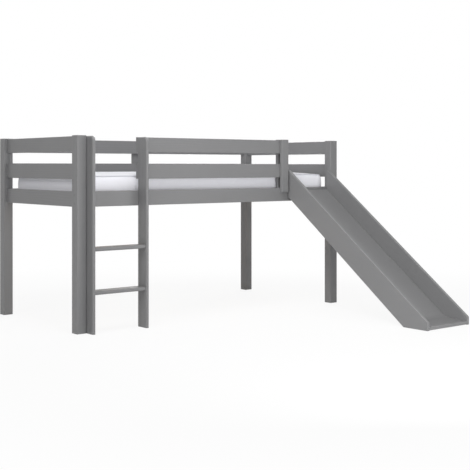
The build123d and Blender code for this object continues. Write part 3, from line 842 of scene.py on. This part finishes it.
    def build(self, effects: Effects) -> list[Piece]:
        """Builds the mattress and its piping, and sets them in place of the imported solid."""
        low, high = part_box("mattress")
        self.low, self.high = np.array(low, float), np.array(high, float)
        lattice, quads, sides = self.lattice()
        points = self.shape(lattice)
        piece = mesh_object("mattress_cover", points, quads)
        add_map(piece, self.map_name, self.cover_map(points, quads, sides))
        edges = {"top": self.edge_loop(lattice, self.cells[2]), "bottom": self.edge_loop(lattice, 0)}
        underside = np.flatnonzero(lattice[:, 2] == 0)
        self.swell(piece, np.unique(np.concatenate([underside, edges["top"]])))
        finished = piece.modifiers.new("smooth", "SUBSURF")
        finished.levels = 1
        finished.render_levels = 1
        ticking = Ticking(name="mattress_ticking", map_name=self.map_name)
        put_material(piece, ticking.material(effects))
        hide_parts("mattress")
        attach(piece, "mattress")
        made = [piece]
        trim = Ticking(
            name="mattress_piping_cloth",
            map_name=self.map_name,
            colour=self.piping_colour,
            threads_per_metre=self.piping_threads,
        ).material(effects)
        placed = mesh_points(piece)
        for name, loop in edges.items():
            line = placed[loop]
            cord = self.piping(f"mattress_piping_{name}", line, self.outward_at(line))
            put_material(cord, trim)
            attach(cord, "mattress")
            made.append(cord)
        return made


class Recess(Enum):
    """The drive in the head of a bolt or screw."""

    HEXAGON = "hexagon"
    CROSS = "cross"


@dataclass
class TurnedFasteners:
    """Bolts or screws with a turned head and a drive recess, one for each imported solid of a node.

    Each is a profile of radius and depth carried round its axis. In the recess the radius also depends on
    the angle: a hexagon's is its flat's distance over the cosine from the nearest flat, and a cross's swells
    at four arms.
    """

    node: str
    body: str
    recess: Recess
    slot: str = "zinc_plated_steel"
    head_radius: float = 0.0055
    head_height: float = 0.0035
    head_edge: float = 0.0008
    recess_radius: float = 0.0021
    recess_depth: float = 0.0022
    shank_radius: float = 0.003
    countersunk: bool = False
    sides: int = 48
    arm_power: int = 3
    arm_core_share: float = 0.34
    recess_floor_share: float = 0.55
    recess_wall_share: float = 0.82
    edge_round_share: float = 0.3
    sunk_edge_share: float = 0.25
    tip_share: float = 0.3
    widest_share: float = 0.98

    def recess_outline(self, angle: Array) -> Array:
        """The recess's radius at each angle."""
        if self.recess is Recess.HEXAGON:
            sector = np.pi / 3
            return self.recess_radius / np.cos((angle + sector / 2) % sector - sector / 2)
        arm = np.abs(np.cos(2 * angle)) ** self.arm_power
        return self.recess_radius * (self.arm_core_share + (1 - self.arm_core_share) * arm)

    def profile(self, length: float) -> tuple[Array, Array, Array]:
        """The turned profile from the recess's floor to the tip.

        Args:
            length: From the head's face to the tip.

        Returns:
            For each ring: its radius, its depth below the head's face, and whether it lies in the recess,
            where its radius is a share of the recess's own.
        """
        head, edge, shank = self.head_radius, self.head_edge, self.shank_radius
        rounded = edge * self.edge_round_share
        recess = [
            (0.0, self.recess_depth),
            (self.recess_floor_share, self.recess_depth),
            (1.0, self.recess_depth * self.recess_wall_share),
            (1.0, 0.0),
        ]
        outer = [(self.recess_radius + edge / 2, 0.0)]
        if self.countersunk:
            outer += [(head, edge * self.sunk_edge_share)]
        else:
            outer += [(head - edge, 0.0), (head - rounded, rounded), (head, edge), (head, self.head_height)]
        outer += [(shank, self.head_height), (shank, length - shank), (shank * self.tip_share, length)]
        table = np.array(recess + outer + [(0.0, length)])
        return table[:, 0], table[:, 1], np.arange(len(table)) < len(recess)

    def one(self, solid: Array) -> tuple[Array, Array]:
        """One fastener's points and faces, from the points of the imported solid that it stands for."""
        low, high = solid.min(axis=0), solid.max(axis=0)
        axis = int(np.argmax(high - low))
        others = [number for number in range(3) if number != axis]
        middle = (low + high) / 2
        spread = np.abs(solid[:, others] - middle[others]).max(axis=1)
        widest = solid[spread > spread.max() * self.widest_share, axis]
        head_is_high = widest.mean() > middle[axis]
        face = high[axis] if head_is_high else low[axis]
        inward = -1.0 if head_is_high else 1.0
        radius, depth, recessed = self.profile(high[axis] - low[axis])
        angle = np.linspace(0, 2 * np.pi, self.sides, endpoint=False)
        reach = radius[:, None] * np.where(recessed[:, None], self.recess_outline(angle), 1.0)
        made = np.zeros((len(radius), self.sides, 3))
        made[..., others[0]] = middle[others[0]] + reach * np.cos(angle)
        made[..., others[1]] = middle[others[1]] + reach * np.sin(angle)
        made[..., axis] = face + inward * depth[:, None]
        return made.reshape(-1, 3), ring_faces(len(radius), self.sides)

    def build(self, material: Material) -> Piece:
        """Builds all fasteners of the node as one piece and sets it in their place."""
        points = []
        faces = []
        start = 0
        for solid in solids_of(bpy.data.objects[self.node]):
            made, quads = self.one(solid)
            points.append(made)
            faces.append(quads + start)
            start += len(made)
        piece = mesh_object(f"{self.node}_turned", np.concatenate(points), np.concatenate(faces), False)
        weld_and_turn_out(piece)
        put_material(piece, material)
        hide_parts(self.node)
        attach(piece, self.body)
        return piece


def weld_and_turn_out(piece: Piece, same_place: float = 1e-6, no_area: float = 1e-7) -> None:
    """Merges doubled points, drops faces without area and turns the rest outwards."""
    mesh = bmesh.new()
    mesh.from_mesh(piece.data)
    bmesh.ops.remove_doubles(mesh, verts=mesh.verts, dist=same_place)
    bmesh.ops.dissolve_degenerate(mesh, edges=mesh.edges, dist=no_area)
    bmesh.ops.recalc_face_normals(mesh, faces=mesh.faces)
    mesh.to_mesh(piece.data)
    mesh.free()
    piece.data.update()


FINISHES = {
    "slide_panel": SlidePanelLacquer(),
    "pine": PlainWood(
        name="plain_pine_slats", grain=Grain.ACROSS_BED,
        colour=(232.0, 205.0, 160.0), late=(205.0, 163.0, 108.0),
    ),
    "beech": PlainWood(
        name="beech_dowels", grain=Grain.ACROSS_BED,
        colour=(214.0, 172.0, 128.0), late=(196.0, 150.0, 106.0),
    ),
    "zinc": FineSkin(
        name="zinc_plated_steel", colour=(196.0, 198.0, 202.0), metallic=1.0, drift=0.3, roughness=0.34,
        marks=0.3, relief=0.00004, relief_strength=0.25, skin_stretch=(900.0, 900.0, 60.0), skin_detail=3.0,
    ),
    "coated": FineSkin(
        name="grey_coated_steel", colour=(118.0, 118.0, 120.0), drift=0.12, roughness=0.48, marks=0.16,
        relief=0.00006, relief_strength=0.4, skin_stretch=(700.0, 700.0, 700.0),
    ),
    "cap": FineSkin(
        name="grey_cap_plastic", colour=(122.0, 122.0, 123.0), drift=0.08, roughness=0.5, marks=0.1,
        relief=0.00003, relief_strength=0.3, skin_stretch=(2400.0, 2400.0, 2400.0),
    ),
    "lacquer_along": LacqueredBoard(name="grey_lacquer_along_bed", grain=Grain.ALONG_BED),
    "lacquer_across": LacqueredBoard(name="grey_lacquer_across_bed", grain=Grain.ACROSS_BED),
    "lacquer_upright": LacqueredBoard(name="grey_lacquer_upright", grain=Grain.UPRIGHT),
    "lacquer_down_slide": LacqueredBoard(name="grey_lacquer_down_slide", grain=Grain.DOWN_SLIDE),
}

# The first row with a word in a node's name gives its finish.
WORDS = {
    "beech": ("dowels",),
    "cap": ("caps",),
    "coated": ("slide_screws", "ladder_screws", "slide_hooks"),
    "zinc": ("screws", "bolts", "nuts"),
    "slide_panel": ("slide_floor",),
    "lacquer_upright": ("post", "batten", "ladder_left_board", "ladder_right_board"),
    "lacquer_down_slide": ("slide_left_board", "slide_right_board"),
    "lacquer_across": ("left_end", "right_end"),
}


def finish_for(node: str) -> str:
    """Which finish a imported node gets: pine on the slats, and grey along the bed where no word fits."""
    if node.startswith("slat_") and node != "slat_screws":
        return "pine"
    for finish, words in WORDS.items():
        if any(word in node for word in words):
            return finish
    return "lacquer_along"


def dress(nodes: dict[str, Piece], effects: Effects) -> dict[str, Material]:
    """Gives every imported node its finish, and returns the finishes."""
    finishes = {name: finish.material(effects) for name, finish in FINISHES.items()}
    for name, piece in nodes.items():
        finish = finishes[finish_for(name)]
        put_material(piece, finish)
        LOG.info("%s gets %s", name, finish.name)
    return finishes


@dataclass(frozen=True, kw_only=True)
class Lamp:
    """A soft square lamp that looks at a point."""

    name: str
    place: Triple
    target: Triple
    size: float
    watts: float

    def build(self) -> None:
        """Adds the lamp to the scene."""
        data = bpy.data.lights.new(self.name, "AREA")
        data.shape = "SQUARE"
        data.size = self.size
        data.energy = self.watts
        lamp = linked(self.name, data)
        lamp.location = self.place
        towards = np.array(self.target) - np.array(self.place)
        level = math.hypot(towards[0], towards[1])
        lamp.rotation_euler = (math.atan2(level, -towards[2]), 0.0, math.atan2(-towards[0], towards[1]))


# Two low lamps near the front, one at the left, one over the bed, a weak one overhead and a far one behind.
LAMPS = (
    Lamp(name="front_left", place=(-0.8, -2.6, 0.9), target=(0.9, -0.3, 0.7), size=1.2, watts=21.5),
    Lamp(name="front_low", place=(0.7, -2.6, 0.7), target=(0.4, -0.5, 0.8), size=1.2, watts=12.5),
    Lamp(name="left_side", place=(-4.3, -0.9, 2.4), target=(0.0, 0.0, 0.7), size=1.6, watts=48.0),
    Lamp(name="over_bed", place=(-1.0, -0.7, 3.1), target=(1.1, 0.2, 0.9), size=1.0, watts=38.0),
    Lamp(name="overhead", place=(0.0, -0.3, 3.6), target=(0.0, 0.0, 0.0), size=3.0, watts=14.0),
    Lamp(name="back_right", place=(3.7, 3.7, 1.6), target=(0.0, 0.0, 0.7), size=3.0, watts=160.0),
)


@dataclass
class Studio:
    """A pale floor, soft lamps, a white surround and the photograph's camera."""

    floor_half_width: float = 40.0
    floor_cloud_scale: float = 0.8
    floor_cloud_detail: float = 2.0
    floor_cloud_span: Span = (0.3, 0.7)
    floor_grey: Span = (0.88, 0.9)
    floor_share: float = 0.9
    shadow_reach: float = 1.8
    sky_strength: float = 0.22
    camera_place: Triple = (-3.8775, -4.8118, 0.9699)
    camera_turn: float = math.radians(39.043)
    picture_width: float = 470.0
    focal_pixels: float = 972.5
    centre_pixel: Span = (233.39, 165.92)
    sensor: float = 36.0
    sight: float = 200.0

    def floor(self) -> None:
        """A flat square at the feet that takes shadows, and grows white to the camera with distance."""
        half = self.floor_half_width
        corners = np.array([[-half, -half, 0.0], [half, -half, 0.0], [half, half, 0.0], [-half, half, 0.0]])
        piece = mesh_object("studio_floor", corners, np.arange(len(corners))[None, :], False)
        material = bpy.data.materials.new("studio_floor")
        material.use_nodes = True
        sheet = Sheet(material.node_tree)
        place = sheet.add("ShaderNodeTexCoord").outputs["Object"]
        clouds = sheet.noise(place, self.floor_cloud_scale, self.floor_cloud_detail)
        grey = sheet.spread(clouds, self.floor_cloud_span, self.floor_grey)
        matt = sheet.add("ShaderNodeBsdfDiffuse", {"Color": grey})
        white = sheet.add("ShaderNodeEmission", {"Color": WHITE, "Strength": 1.0})
        away = sheet.row("ShaderNodeVectorMath", place, operation="LENGTH").outputs["Value"]
        reach = (self.shadow_reach, 2 * self.shadow_reach)
        fade = sheet.spread(away, reach, (self.floor_share, 1.0))
        share = sheet.calculate("MULTIPLY", self.seen_directly(sheet), fade)
        mixed = sheet.row("ShaderNodeMixShader", share, matt.outputs[0], white.outputs[0])
        sheet.add("ShaderNodeOutputMaterial", {"Surface": mixed.outputs[0]})
        put_material(piece, material)

    @staticmethod
    def seen_directly(sheet: Sheet) -> Socket:
        """One where the camera, a reflection or clear glass looks, and zero for light that falls."""
        path = sheet.add("ShaderNodeLightPath").outputs
        camera_or_gloss = sheet.calculate("MAXIMUM", path["Is Camera Ray"], path["Is Glossy Ray"])
        return sheet.calculate("MAXIMUM", camera_or_gloss, path["Is Transmission Ray"])

    def surround(self) -> None:
        """A white world to the camera, and a softer one as light."""
        world = bpy.data.worlds.new("studio")
        bpy.context.scene.world = world
        world.use_nodes = True
        sheet = Sheet(world.node_tree)
        strength = sheet.spread(self.seen_directly(sheet), ZERO_TO_ONE, (self.sky_strength, 1.0))
        light = sheet.add("ShaderNodeBackground", {"Color": WHITE, "Strength": strength})
        sheet.add("ShaderNodeOutputWorld", {"Surface": light.outputs[0]})

    def camera(self) -> None:
        """The photograph's camera: level, with its optical axis above the picture's middle."""
        data = bpy.data.cameras.new("camera")
        data.sensor_width = self.sensor
        data.lens = self.sensor * self.focal_pixels / self.picture_width
        half = self.picture_width / 2
        data.shift_x = (half - self.centre_pixel[0]) / self.picture_width
        data.shift_y = (self.centre_pixel[1] - half) / self.picture_width
        data.clip_end = self.sight
        piece = linked("camera", data)
        piece.location = self.camera_place
        piece.rotation_euler = (math.pi / 2, 0.0, -self.camera_turn)
        bpy.context.scene.camera = piece

    def build(self) -> None:
        """Sets up the whole studio."""
        self.floor()
        self.surround()
        for lamp in LAMPS:
            lamp.build()
        self.camera()
        bpy.context.scene.view_settings.view_transform = "Standard"


def main() -> None:
    """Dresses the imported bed, adds its new pieces and sets up the studio."""
    logging.basicConfig(level=logging.INFO, format="%(name)s: %(message)s")
    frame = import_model()
    effects = Effects()
    finishes = dress(frame["nodes"], effects)
    for piece in MattressLook().build(effects):
        LOG.info("built %s", piece.name)
    fasteners = [
        TurnedFasteners("guard_bolts", "bed_frame", Recess.HEXAGON),
        TurnedFasteners("ladder_bolts", "bed_frame", Recess.HEXAGON),
        TurnedFasteners(
            "slat_screws", "bed_frame", Recess.CROSS, countersunk=True, sides=24, shank_radius=0.002,
            head_radius=0.004, head_height=0.0024, recess_radius=0.0022, recess_depth=0.0013,
        ),
    ]
    for kind in fasteners:
        LOG.info("built %s", kind.build(finishes["zinc"]).name)
    Studio().build()


if __name__ == "__main__":
    main()
